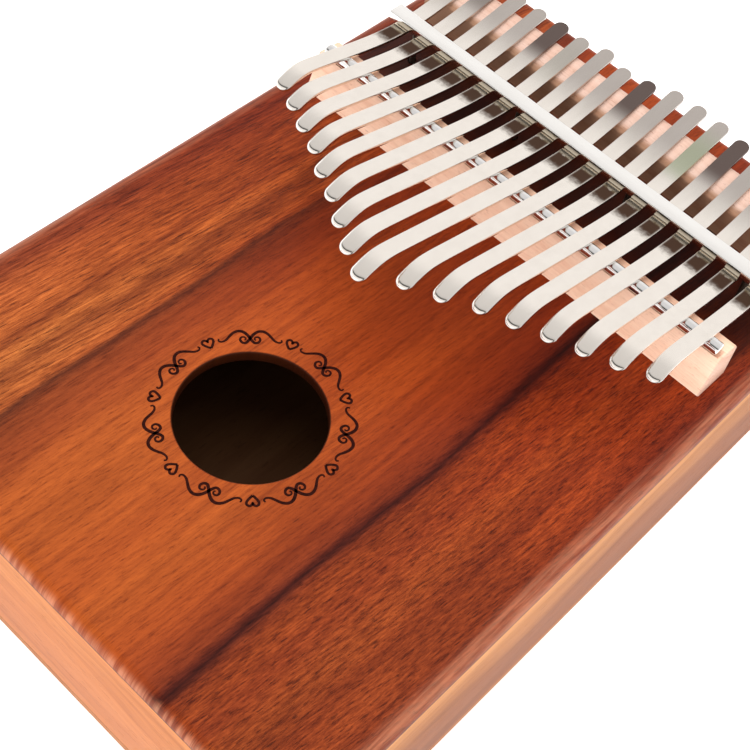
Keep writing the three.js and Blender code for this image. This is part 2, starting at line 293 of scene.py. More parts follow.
def soundboard_material():
    """Three boards of red-brown koa glued edge to edge: a plain centre and two figured wings."""
    material, g = new_material("koa_soundboard")
    x, y, z = across_along(g, "y")
    long_wave = g.noise(combine(g, g.times(x, 0.03), g.times(y, 0.012), z), 1.0, 2.0)
    drift = g.times(g.math("SUBTRACT", long_wave, 0.5), 7.0)
    ripple = g.noise(combine(g, g.times(x, 0.16), g.times(y, 0.02), 0.0), 1.0, 3.0)
    drift = g.math("ADD", drift, g.times(g.math("SUBTRACT", ripple, 0.5), 3.0))
    across = g.math("ADD", x, drift)
    position = g.math("MULTIPLY_ADD", across, 1 / KOA_SPAN, 0.5)
    figure = g.ramp(position, [(at / KOA_SPAN + 0.5, srgb(*color)) for at, color in KOA_BANDS])

    # Ribbons and clouds that run along the board
    cloud = g.noise(combine(g, g.times(x, 0.09), g.times(y, 0.016), 3.0), 1.0, 5.0, 0.6)
    color = g.tone(figure, cloud, [(0.28, (0.70, 0.64, 0.60)), (0.5, (1, 1, 1)), (0.75, (1.14, 1.18, 1.2))])
    streak = g.noise(combine(g, g.times(x, 0.75), g.times(y, 0.024), 7.0), 1.0, 4.0, 0.65)
    color = g.tone(color, streak, [(0.3, (0.70, 0.62, 0.58)), (0.52, (1, 1, 1)), (0.74, (1.14, 1.18, 1.2))])

    # Fibres, then open pores: short dark dashes, thickest in the wings
    wing = g.shade(g.absolute(across), 26, 33)
    skew = g.math("MULTIPLY_ADD", y, -0.1, x)
    left = g.math("LESS_THAN", across, LEFT_WING_EDGE)
    fibre_pace = g.times(y, g.math("MULTIPLY_ADD", left, -0.11, 0.22))
    fibre = g.noise(combine(g, g.times(skew, 2.1), fibre_pace, 0.0), 1.0, 6.0, 0.85)
    calm = g.tone(color, fibre, [(0.36, (0.50, 0.40, 0.34)), (0.47, (0.95, 0.94, 0.93)), (0.64, (1.17, 1.21, 1.23))])
    lively = g.tone(color, fibre, [(0.35, (0.28, 0.17, 0.12)), (0.47, (0.90, 0.88, 0.84)), (0.62, (1.62, 1.9, 2.0))])
    color = g.mix(wing, calm, lively)
    dash_pace = g.times(y, g.math("MULTIPLY_ADD", left, -0.13, 0.28))
    dash = g.noise(combine(g, g.times(skew, 2.5), dash_pace, 11.0), 1.0, 4.0, 0.7)
    reach = g.math("MULTIPLY_ADD", wing, 0.06, 0.37)
    pore = g.math("SUBTRACT", 1.0, g.shade(dash, g.math("SUBTRACT", reach, 0.06), reach))
    pore = g.times(pore, g.math("MULTIPLY_ADD", wing, 0.25, 0.4))
    color = g.mix(pore, color, srgb(*KOA_PORE))

    # Darker towards the head, and painted shade on the board between the bridges, where the tines and the bar shade
    # it
    toward_head = g.math("MULTIPLY_ADD", y, 1 / BOX_LENGTH, 0.5)
    color = g.tone(color, toward_head, KOA_FINISH)
    right_wing = g.tone(color, toward_head, RIGHT_WING_FINISH)
    color = g.mix(g.shade(across, RIGHT_WING_EDGE, RIGHT_WING_EDGE + 2.5), color, right_wing)
    between = g.times(g.shade(y, BRIDGE_Y + 5, BRIDGE_Y + 12), g.shade(y, BRIDGE_Y + 40, BRIDGE_Y + 34))
    between = g.times(between, g.shade(g.absolute(x), 58, 55))
    shade_depth = g.shade(y, BRIDGE_Y + 9, BRIDGE_Y + 22, 0.54, 0.86)
    color = g.mix(g.times(between, shade_depth), color, srgb(*KOA_IN_SHADE))

    # The rounded rim and the long top edges get lighter streaks as a painted sheen (painted highlight), and the wall
    # and cut edge of the sound hole get painted shade
    height = g.math("SUBTRACT", z, BOX_HEIGHT - TOP_EDGE_RADIUS)
    rim = g.times(g.shade(height, 2.7, 1.2), g.shade(z, 33.9, 34.2))
    rim_sheen_tone = g.mix(g.shade(streak, 0.38, 0.62), *(srgb(*tone) for tone in RIM_SHEEN_STREAKS))
    centre = g.node("ShaderNodeVectorMath", operation="LENGTH")
    g.put(centre.inputs[0], combine(g, x, g.math("SUBTRACT", y, SOUND_HOLE_Y), 0.0))
    radius = centre.outputs["Value"]
    away = g.shade(radius, SOUND_HOLE_RADIUS + 3, SOUND_HOLE_RADIUS + 4)
    ends = g.shade(g.absolute(y), 82, 89, 0.42, 0.54)
    # Painted highlight: a lighter band along the long top edges
    edge_sheen = g.shade(g.absolute(x), 58.6, 61.2, 0.0, 0.4)
    sheen = g.times(g.math("MAXIMUM", g.times(rim, ends), edge_sheen), away)
    color = g.mix(sheen, color, rim_sheen_tone)
    seam = g.times(g.shade(z, 34.75, 34.3), away)
    color = g.mix(g.times(seam, 0.75), color, srgb(*GLUE_SEAM))
    # Painted shade down the wall and over the cut edge of the sound hole
    hole_shade = g.times(g.shade(radius, SOUND_HOLE_RADIUS + 0.45, SOUND_HOLE_RADIUS + 0.1), 0.93)
    color = g.mix(hole_shade, color, srgb(*KOA_HOLE_SHADE))
    rough = g.math("MULTIPLY_ADD", streak, 0.16, 0.34)
    relief = g.math("SUBTRACT", fibre, g.times(pore, 1.6))
    normal = g.bump(relief, 0.00003, 0.5)
    g.finish(color, rough, normal, Specular_IOR_Level=WOOD_SPECULAR)
    return material


# Painted light and shade on the bridges by Y in mm / 100: the front bridge is painted lightest, the rear bridge's
# front face darkest, in painted shade
BRIDGE_LIGHT_AND_SHADE = [
    (0.36, (1.08, 1.08, 1.08)), (0.6, (0.82, 0.80, 0.84)), (0.662, (0.5, 0.42, 0.36)),
    (0.672, (0.5, 0.42, 0.36)), (0.684, (0.78, 0.80, 0.88)),
]
BRIDGE_END_SHADE = (0.70, 0.68, 0.72)
BOX_INSIDE_SHADE = (24, 13, 9)


def plain_wood(name, grain, light, middle, dark, fleck, pore_scale=(3.0, 0.3), rough=0.5, figure=1.0,
               inside=None):
    """A lighter wood: soft growth bands, fibres and pores along the grain.

    Box boards give inside, a painted shade tone for their lower edge, lightening to painted light at the top, and get
    painted shade on their inner faces.
    Without it the wood is the bridges', with painted light and shade along the box and painted shade at their cut
    ends.
    """
    material, g = new_material(name)
    x, y, z = across_along(g, grain)
    depth = g.math("MULTIPLY_ADD", z, 1.0, g.times(x, 0.55))
    bend = g.noise(combine(g, g.times(depth, 0.06), g.times(y, 0.014), 0.0), 1.0, 2.0)
    lane = g.math("MULTIPLY_ADD", depth, 0.22 * figure, g.times(bend, 3.4))
    band = g.noise(combine(g, lane, g.times(y, 0.012), 2.0), 1.0, 4.0, 0.6)
    color = g.ramp(band, [(0.3, srgb(*dark)), (0.5, srgb(*middle)), (0.72, srgb(*light))])
    fibre = g.noise(combine(g, g.times(depth, 3.4), g.times(y, 0.16), g.times(x, 0.6)), 1.0, 4.0, 0.7)
    color = g.tone(color, fibre, [(0.25, (0.88, 0.84, 0.80)), (0.5, (1, 1, 1)), (0.8, (1.05, 1.06, 1.07))])
    dash_at = combine(g, g.times(depth, pore_scale[0]), g.times(y, pore_scale[1]), g.times(x, 0.9))
    dash = g.noise(dash_at, 1.0, 2.0, 0.5)
    pore = g.shade(dash, 0.37, 0.31)
    color = g.mix(g.times(pore, 0.4), color, srgb(*fleck))
    if not inside:
        # Painted light and shade along the box, and painted shade on the bridges' cut ends
        color = g.tone(color, g.times(x, 0.01), BRIDGE_LIGHT_AND_SHADE)
        end = g.shade(g.absolute(y), BRIDGE_LENGTH / 2 - 0.5, BRIDGE_LENGTH / 2 - 0.1)
        color = g.tone(color, end, [(0.0, (1, 1, 1)), (1.0, BRIDGE_END_SHADE)])
    else:
        # Painted light and shade on the box boards: lighter towards the top, down to the inside tone at the lower
        # edge
        lit = g.math("MULTIPLY_ADD", g.math("SUBTRACT", bend, 0.5), 0.5, g.times(z, 1 / BOX_HEIGHT))
        color = g.tone(color, lit, [(0.48, inside), (0.86, (1, 1, 1)), (0.94, (1.14, 1.16, 1.16))])
        split = g.node("ShaderNodeSeparateXYZ")
        g.put(split.inputs[0], g.place_mm())
        across = g.math("SUBTRACT", g.absolute(split.outputs[0]), BOX_WIDTH / 2 - WALL)
        lengthways = g.math("SUBTRACT", g.absolute(split.outputs[1]), BOX_LENGTH / 2 - WALL)
        # Painted shade on the inner faces of the box, deepest near its floor
        within = g.shade(g.math("MAXIMUM", across, lengthways), 0.3, 0.05)
        height = split.outputs[2]
        within = g.times(within, g.shade(height, 2.4, 2.8))
        inside_shade_depth = g.shade(height, 3.2, 6, 0.8, 0.93)
        color = g.mix(g.times(within, inside_shade_depth), color, srgb(*BOX_INSIDE_SHADE))
    normal = g.bump(g.math("SUBTRACT", fibre, g.times(pore, 1.2)), 0.00003, 0.4)
    g.finish(color, g.math("MULTIPLY_ADD", fibre, 0.14, rough - 0.07), normal, Specular_IOR_Level=WOOD_SPECULAR)
    return material


def steel(name, color, rough, brush_axis="y", brush=0.06):
    """Worked steel: faint lengthwise rubbing marks and a little unevenness in the finish."""
    material, g = new_material(name)
    toned, roughness, normal = steel_look(g, color, rough, brush_axis, brush)
    g.finish(toned, roughness, normal, Metallic=1.0)
    return material


def steel_look(g, color, rough, brush_axis, brush):
    x, y, z = across_along(g, brush_axis)
    mark = g.noise(combine(g, g.times(x, 9.0), g.times(y, 0.35), g.times(z, 9.0)), 1.0, 3.0, 0.6)
    cloud = g.noise(combine(g, g.times(x, 0.4), g.times(y, 0.12), z), 1.0, 3.0)
    toned = g.tone(srgb(*color), cloud, [(0.3, (0.96, 0.955, 0.95)), (0.65, (1.0, 1.0, 1.0))])
    roughness = g.math("ADD", rough, g.times(g.math("SUBTRACT", mark, 0.5), brush * 2))
    return toned, roughness, g.bump(mark, 0.000003, 0.4)


BAR_REFLECTION_DARK = (66, 42, 26)
GILT = (206, 184, 146)
TIP_GREY = (212, 207, 201)
REAR_DARK_REFLECTION = (98, 84, 80)
REAR_GREEN_REFLECTION = (158, 172, 138)


def tine_material():
    """Nickelled spring steel, greyer at the tips, with a gilt line at the bar and painted reflections: dark in front
    of the bar and on the rear ends, green on a few.
    """
    material, g = new_material("tine_steel")
    toned, roughness, normal = steel_look(g, (240, 235, 228), 0.15, "y", 0.03)
    x, y, z = across_along(g, "y")
    before_bar = g.math("SUBTRACT", BRIDGE_Y + BAR_Y, y)
    place = g.math("MULTIPLY_ADD", x, 1 / TINE_PITCH, 0.5)
    off_line = g.times(g.absolute(g.math("SUBTRACT", g.math("FRACT", place), 0.5)), TINE_PITCH)
    # Painted reflection of the bar: a dark blotch on each tine in front of it, with a wavering edge
    reflection_wobble = g.noise(g.place_mm(), 0.9, 3.0)
    reach = g.math("MULTIPLY_ADD", g.math("SUBTRACT", reflection_wobble, 0.5), 2.3, before_bar)
    bar_reflection = g.times(g.shade(reach, 1.0, 2.0), g.shade(reach, 8.4, 5.0))
    bar_reflection = g.times(bar_reflection, g.shade(off_line, 2.1, 1.35))
    toned = g.mix(g.times(bar_reflection, 0.98), toned, srgb(*BAR_REFLECTION_DARK))
    gilt = g.times(g.shade(before_bar, 2.2, 1.2), g.shade(before_bar, -0.2, 0.1))
    toned = g.mix(g.times(gilt, 0.55), toned, srgb(*GILT))
    along, dark_reflection, green = (
        g.node("ShaderNodeAttribute", attribute_name=name).outputs["Fac"] for name in ("along", "dark_reflection", "green")
    )
    # Greyer towards the tips
    toned = g.mix(g.times(g.shade(along, 7.0, 1.0), 0.5), toned, srgb(*TIP_GREY))
    # Painted reflections on the rear ends: dark haze on all, darker on some tines, green on a few
    toned = g.mix(dark_reflection, toned, srgb(*REAR_DARK_REFLECTION))
    toned = g.mix(green, toned, srgb(*REAR_GREEN_REFLECTION))
    g.finish(toned, roughness, normal, Metallic=1.0)
    return material


def burnt_material():
    material, g = new_material("burnt_line")
    char = g.noise(g.place_mm(), 1.6, 3.0)
    color = g.ramp(char, [(0.3, srgb(28, 9, 7)), (0.7, srgb(52, 19, 13))])
    g.finish(color, g.math("MULTIPLY_ADD", char, 0.2, 0.6), g.bump(char, 0.00002, 0.6), Specular_IOR_Level=0.04)
    return material


KOA = soundboard_material()
SIDE_Y = plain_wood("side_wood", "y", (196, 137, 87), (185, 126, 77), (164, 107, 63), (116, 70, 42),
                    inside=(0.53, 0.39, 0.33))
SIDE_X = plain_wood("end_wood", "x", (200, 133, 84), (190, 122, 75), (170, 104, 64), (118, 66, 38),
                    inside=(0.92, 0.84, 0.80))
BACK = plain_wood("back_wood", "y", (188, 134, 88), (176, 120, 76), (156, 100, 60), (116, 68, 42),
                  inside=(0.9, 0.84, 0.8))
BEECH = plain_wood("bridge_wood", "x", (248, 212, 188), (242, 202, 176), (232, 184, 156), (176, 118, 90),
                   (4.5, 0.5), 0.55, 1.6)
TINE_STEEL = tine_material()
BAR_STEEL = steel("bar_steel", (246, 246, 244), 0.14, "x")
ROD_STEEL = steel("rod_steel", (232, 232, 232), 0.12, "x", 0.03)
ZINC = steel("zinc_steel", (200, 202, 204), 0.3)
BLACKED = steel("blacked_steel", (62, 54, 48), 0.45)
BURNT = burnt_material()


# ---------------------------------------------------------------- meshes
def add_piece(name, mesh, material, body="box", sharp=32.0):
    mesh.validate()
    mesh.shade_smooth()
    mesh.set_sharp_from_angle(angle=radians(sharp))
    mesh.materials.clear()
    mesh.materials.append(material)
    piece = bpy.data.objects.new(name, mesh)
    scene.collection.objects.link(piece)
    if body:
        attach(piece, body)
    return piece


def mesh_from(name, points, faces):
    mesh = bpy.data.meshes.new(name)
    mesh.from_pydata([(x * MM, y * MM, z * MM) for x, y, z in points], [], faces)
    mesh.update()
    return mesh


def mesh_of(name, bm):
    bmesh.ops.recalc_face_normals(bm, faces=bm.faces)
    mesh = bpy.data.meshes.new(name)
    bm.to_mesh(mesh)
    bm.free()
    return mesh


def rounded_outline(inset, steps=18):
    half_x, half_y = BOX_WIDTH / 2 - inset, BOX_LENGTH / 2 - inset
    radius = CORNER_RADIUS - inset
    points = []
    for corner, (sign_x, sign_y) in enumerate(((1, 1), (-1, 1), (-1, -1), (1, -1))):
        for step in range(steps + 1):
            angle = (corner + step / steps) * pi / 2
            points.append(
                (sign_x * (half_x - radius) + radius * cos(angle), sign_y * (half_y - radius) + radius * sin(angle))
            )
    return points


def circle(x, y, radius, steps):
    return [(x + radius * cos(2 * pi * i / steps), y + radius * sin(2 * pi * i / steps)) for i in range(steps)]


def add_rings(bm, rings):
    """Joins rings of equal count, and returns the first and last ring's edges."""
    loops = [[bm.verts.new((x * MM, y * MM, z * MM)) for x, y in points] for points, z in rings]
    count = len(loops[0])
    for lower, upper in zip(loops, loops[1:]):
        for i in range(count):
            j = (i + 1) % count
            bm.faces.new((lower[i], lower[j], upper[j], upper[i]))

    def edges(loop):
        return [bm.edges.get((loop[i], loop[(i + 1) % count])) for i in range(count)]

    return edges(loops[0]), edges(loops[-1])


def build_board(name, profile, holes, material):
    """A flat board: profile and holes are lists of (inset or radius, height), lowest first."""
    bm = bmesh.new()
    low, high = add_rings(bm, [(rounded_outline(inset), z) for inset, z in profile])
    for x, y, steps, wall in holes:
        first, last = add_rings(bm, [(circle(x, y, radius, steps), z) for radius, z in wall])
        low += first
        high += last
    for edges in (low, high):
        bmesh.ops.triangle_fill(bm, use_beauty=True, edges=edges)
    return add_piece(name, mesh_of(name, bm), material)


def rolled(radius, start, sign, steps=12):
    """Quarter round from the outside face onto a flat face, with a support ring just past it."""
    points = []
    for step in range(steps + 1):
        angle = step / steps * pi / 2
        points.append((radius * (1 - cos(angle)), start + sign * radius * sin(angle)))
    points.append((radius + 0.25, start + sign * radius))
    return points


board_low = BOX_HEIGHT - TOP_THICKNESS
screw_xs = [(gap + 0.5 - MIDDLE_TINE) * TINE_PITCH for gap in SCREW_GAPS]
SCREW_BORE = 1.1
sound_hole_wall = [
    (SOUND_HOLE_RADIUS + 0.4, board_low), (SOUND_HOLE_RADIUS + 0.05, board_low + 0.3),
    (SOUND_HOLE_RADIUS, board_low + 0.4), (SOUND_HOLE_RADIUS, BOX_HEIGHT - 0.45),
    (SOUND_HOLE_RADIUS + 0.08, BOX_HEIGHT - 0.2), (SOUND_HOLE_RADIUS + 0.25, BOX_HEIGHT - 0.05),
    (SOUND_HOLE_RADIUS + 0.5, BOX_HEIGHT), (SOUND_HOLE_RADIUS + 0.6, BOX_HEIGHT),
]
soundboard = build_board(
    "soundboard_koa",
    [(0.4, board_low), (0.28, board_low), (0.02, board_low + 0.14)]
    + rolled(TOP_EDGE_RADIUS - 0.05, BOX_HEIGHT - TOP_EDGE_RADIUS + 0.05, 1),
    [(0, SOUND_HOLE_Y, 128, sound_hole_wall)]
    + [(x, SCREW_Y, 20, [(SCREW_BORE, board_low), (SCREW_BORE, BOX_HEIGHT)]) for x in screw_xs],
    KOA,
)
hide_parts("soundboard")

back = build_board(
    "back_board_wood",
    list(reversed(rolled(BACK_EDGE_RADIUS, BACK_EDGE_RADIUS, -1, 8)))
    + [(0.02, BACK_THICKNESS - 0.14), (0.28, BACK_THICKNESS), (0.4, BACK_THICKNESS)],
    [
        (x, y, 64, [(r + 0.6, 0), (r + 0.5, 0), (r + 0.15, 0.12), (r, 0.5), (r, BACK_THICKNESS - 0.2),
                    (r + 0.2, BACK_THICKNESS)])
        for x, y, r in BACK_HOLES
    ],
    BACK,
)
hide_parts("back_board")


# Rim boards, mitred at the corners
def rim_outline(half_across, half_along, steps=12):
    gap = 0.03
    points = []
    for step in range(steps + 1):
        angle = step / steps * pi / 4
        points.append(
            (
                half_across - CORNER_RADIUS + CORNER_RADIUS * cos(angle) + (gap if step == steps else 0),
                half_along - CORNER_RADIUS + CORNER_RADIUS * sin(angle) - (gap if step == steps else 0),
            )
        )
    points.append((half_across - WALL + gap, half_along - WALL - gap))
    return [(x, -y) for x, y in reversed(points)] + points


def bevel_all(bm, width, segments=2, limit=30.0, only=None):
    edges = [
        e for e in bm.edges
        if len(e.link_faces) == 2 and e.calc_face_angle() > radians(limit) and (only is None or only(e))
    ]
    bmesh.ops.bevel(
        bm, geom=edges, offset=width * MM, offset_type="OFFSET", segments=segments, profile=0.5,
        affect="EDGES", clamp_overlap=True,
    )


def prism(points_3d, direction):
    """A solid from a flat outline drawn out along a direction."""
    bm = bmesh.new()
    start = [bm.verts.new(Vector(p) * MM) for p in points_3d]
    face = bm.faces.new(start)
    made = bmesh.ops.extrude_face_region(bm, geom=[face])
    moved = [v for v in made["geom"] if isinstance(v, bmesh.types.BMVert)]
    bmesh.ops.translate(bm, verts=moved, vec=Vector(direction) * MM)
    bmesh.ops.recalc_face_normals(bm, faces=bm.faces)
    return bm


def build_rim(name, half_across, half_along, angle, material):
    outline = [
        (x * cos(angle) - y * sin(angle), x * sin(angle) + y * cos(angle), BACK_THICKNESS)
        for x, y in rim_outline(half_across, half_along)
    ]
    bm = prism(outline, (0, 0, board_low - BACK_THICKNESS))
    bevel_all(bm, 0.16, 2)
    piece = add_piece(name + "_wood", mesh_of(name, bm), material)
    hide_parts(name)


build_rim("right_side", BOX_WIDTH / 2, BOX_LENGTH / 2, 0, SIDE_Y)
build_rim("head_end", BOX_LENGTH / 2, BOX_WIDTH / 2, pi / 2, SIDE_X)
build_rim("left_side", BOX_WIDTH / 2, BOX_LENGTH / 2, pi, SIDE_Y)
build_rim("tail_end", BOX_LENGTH / 2, BOX_WIDTH / 2, -pi / 2, SIDE_X)


# Bridges
def section_bridge(section):
    points = [(-BRIDGE_LENGTH / 2, BRIDGE_Y + y, BOX_HEIGHT + z) for y, z in section]
    return prism(points, (BRIDGE_LENGTH, 0, 0))


def on_board(edge):
    return all(v.co.z < (BOX_HEIGHT + 0.01) * MM for v in edge.verts)


def carve(name, bm, cutter_bm):
    """Cuts one solid out of another and returns the mesh that is left."""
    body = bpy.data.objects.new(name + "_blank", mesh_of(name + "_blank", bm))
    tool = bpy.data.objects.new(name + "_tool", mesh_of(name + "_tool", cutter_bm))
    for obj in (body, tool):
        scene.collection.objects.link(obj)
    cutting = body.modifiers.new("cut", "BOOLEAN")
    cutting.operation = "DIFFERENCE"
    cutting.solver = "EXACT"
    cutting.object = tool
    result = bpy.data.meshes.new_from_object(body.evaluated_get(bpy.context.evaluated_depsgraph_get()))
    result.name = name
    for obj in (body, tool):
        bpy.data.objects.remove(obj)
    return result


def cylinder_x(bm, x0, x1, y, z, rings, steps=56):
    """A round bar along X. rings are (distance from the end, radius)."""
    loops = []
    for x, radius in [(x0 + d, r) for d, r in rings] + [(x1 - d, r) for d, r in reversed(rings)]:
        loops.append(
            [
                bm.verts.new(
                    Vector((x, y + radius * cos(2 * pi * i / steps), z + radius * sin(2 * pi * i / steps))) * MM
                )
                for i in range(steps)
            ]
        )
    for lower, upper in zip(loops, loops[1:]):
        for i in range(steps):
            j = (i + 1) % steps
            bm.faces.new((lower[i], lower[j], upper[j], upper[i]))
    bm.faces.new(list(reversed(loops[0])))
    bm.faces.new(loops[-1])


# Sections of the bridges: (distance behind the front bridge's foot, height over the soundboard)
FRONT_SECTION = [(0, 0), (9.5, 0), (9.5, 8.8), (3.3, 9.4)]
REAR_SECTION = [
    (38.6, 0), (50.4, 0), (47.8, 9.9), (46.6, REAR_CREST_HEIGHT), (45.4, 10.2), (40, 8.9), (38.6, 7.8),
]
GROOVE_PLAY = 0.12
GROOVE_END_PLAY = 0.6

front = section_bridge(FRONT_SECTION)
bevel_all(front, 0.4, 3, only=lambda e: not on_board(e))
groove = bmesh.new()
groove_half = ROD_LENGTH / 2 + GROOVE_END_PLAY
cylinder_x(
    groove, -groove_half, groove_half, BRIDGE_Y + ROD_Y, BOX_HEIGHT + ROD_HEIGHT, [(0, ROD_RADIUS + GROOVE_PLAY)]
)
front_bridge = add_piece("front_bridge_wood", carve("front_bridge_wood", front, groove), BEECH)
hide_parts("front_bridge")

rear = section_bridge(REAR_SECTION)
bevel_all(rear, 0.35, 3, 12, only=lambda e: not on_board(e))
rear_bridge = add_piece("rear_bridge_wood", mesh_of("rear_bridge_wood", rear), BEECH)
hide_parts("rear_bridge")

rod_mesh = bmesh.new()
cylinder_x(
    rod_mesh, -ROD_LENGTH / 2, ROD_LENGTH / 2, BRIDGE_Y + ROD_Y, BOX_HEIGHT + ROD_HEIGHT,
    [(0, 1.05), (0.08, 1.25), (0.25, 1.42), (0.5, 1.49), (0.7, ROD_RADIUS)],
)
rod = add_piece("bridge_rod_steel", mesh_of("bridge_rod_steel", rod_mesh), ROD_STEEL)
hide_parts("bridge_rod")

bar_low = BOX_HEIGHT + BAR_UNDERSIDE
bar_half = BAR_WIDTH / 2
bar_section = [(-bar_half, 0), (bar_half, 0), (bar_half, BAR_HEIGHT), (-bar_half, BAR_HEIGHT)]
bar_mesh = prism([(-BAR_LENGTH / 2, SCREW_Y + y, bar_low + z) for y, z in bar_section], (BAR_LENGTH, 0, 0))
bevel_all(bar_mesh, 0.28, 3)
bar = add_piece("pressure_bar_steel", mesh_of("pressure_bar_steel", bar_mesh), BAR_STEEL)
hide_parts("pressure_bar")


# ---------------------------------------------------------------- tines
ROD_CREST = ROD_HEIGHT + ROD_RADIUS + TINE_REST + TINE_THICKNESS
CLAMPED_TOP = BAR_UNDERSIDE - TINE_REST
REAR_CREST = REAR_CREST_HEIGHT + TINE_REST + TINE_THICKNESS
BAR_BACK_Y = BAR_Y + BAR_WIDTH


def bent_rise(share, span, start_slope, rise):
    bend = rise - start_slope * span
    return start_slope * span * share + bend * (1.5 * share**2 - 0.5 * share**3)


def tine_top(y, tip):
    """Height of a tine's top face over the soundboard, y behind the front bridge's foot."""
    if y < ROD_Y:
        curl = max(0.0, 1 - (y - tip) / TIP_CURL_LENGTH)
        return ROD_CREST + TONGUE_SLOPE * (ROD_Y - y) - TIP_CURL_DROP * curl**3
    if y < BAR_Y:
        span = BAR_Y - ROD_Y
        return CLAMPED_TOP + bent_rise((BAR_Y - y) / span, span, BAR_FRONT_SLOPE, ROD_CREST - CLAMPED_TOP)
    if y <= BAR_BACK_Y:
        return CLAMPED_TOP
    span, rise = REAR_CREST_Y - BAR_BACK_Y, REAR_CREST - CLAMPED_TOP
    if y <= REAR_CREST_Y:
        return CLAMPED_TOP + bent_rise((y - BAR_BACK_Y) / span, span, BAR_REAR_SLOPE, rise)
    slope = BAR_REAR_SLOPE + 1.5 * (rise - BAR_REAR_SLOPE * span) / span
    return REAR_CREST + slope * (y - REAR_CREST_Y)


# At the tip the top face rolls down over TIP_ROLL before its edge. The roll fades out over TIP_ROLL_FADE,
# starting TIP_ROLL_START behind the tip.
TIP_ROLL = 1.5
TIP_ROLL_SLOPE = 1.15
TIP_ROLL_START = 1.0
TIP_ROLL_FADE = 7
TIP_CORNER = 1.75
TIP_STEPS = 18
REAR_CORNER = 1.75
REAR_STEPS = 10
RUN_STEPS = 96
ROLL_STEPS = 12
EDGE = 0.1
# How far each tine is twisted before and behind the bar, in degrees
TWISTS = [0.6, -1.4, 0.9, 0.3, -1.0, 1.2, -0.5, 0.8, 0.2, -0.9, 0.5, -0.3, 0.9, -0.6, 0.4, -0.8, 0.3]
REAR_TWISTS = [0.3, -1.2, 0.6, -0.2, -1.6, 0.4, -0.6, 0.5, -1.4, 0.2, -0.4, -1.0, -1.5, 0.3, -0.5, 0.4, -1.2]
# Painted reflection: a dark haze on every rear end, a much darker painted reflection on the rear ends of a few tines,
# and a green one on others
REAR_REFLECTION_HAZE = 0.5
REAR_DARK_REFLECTION_TINES = {2: 0.75, 5: 0.97, 9: 0.97, 13: 0.97, 17: 0.9}
REAR_GREEN_REFLECTION_TINES = {12: 0.6, 6: 0.1}


def smooth_step(value):
    value = min(1.0, max(0.0, value))
    return value * value * (3 - 2 * value)


def tine_outline(length):
    """Points down one side of a tine from tip to rear end: (distance along, half width, outward normal)."""
    half = TINE_WIDTH / 2
    spots = []
    for step in range(TIP_STEPS + 1):
        angle = step / TIP_STEPS * pi / 2
        spots.append(
            (TIP_CORNER * (1 - cos(angle)), half - TIP_CORNER * (1 - sin(angle)), (-cos(angle), sin(angle)))
        )
    begin, end = TIP_CORNER + 0.2, length - REAR_CORNER - 0.3
    for step in range(RUN_STEPS + 1):
        share = step / RUN_STEPS
        spots.append((begin + (end - begin) * share**1.25, half, (0.0, 1.0)))
    for step in range(REAR_STEPS + 1):
        angle = (1 - step / REAR_STEPS) * pi / 2
        spots.append(
            (length - REAR_CORNER * (1 - cos(angle)), half - REAR_CORNER * (1 - sin(angle)), (cos(angle), sin(angle)))
        )
    return spots


# Rings of a tine from its underside up: (edge rounding inset, share of the thickness, share of the tip roll)
TINE_RINGS = [
    (EDGE, 1.0, 1.0), (EDGE * 0.3, 1 - 0.3 * EDGE / TINE_THICKNESS, 1.0), (0.0, 1 - EDGE / TINE_THICKNESS, 1.0),
    (0.0, EDGE / TINE_THICKNESS, 1.0), (EDGE * 0.3, 0.3 * EDGE / TINE_THICKNESS, 1.0),
] + [(EDGE, 0.0, 1 - step / ROLL_STEPS) for step in range(ROLL_STEPS + 1)]


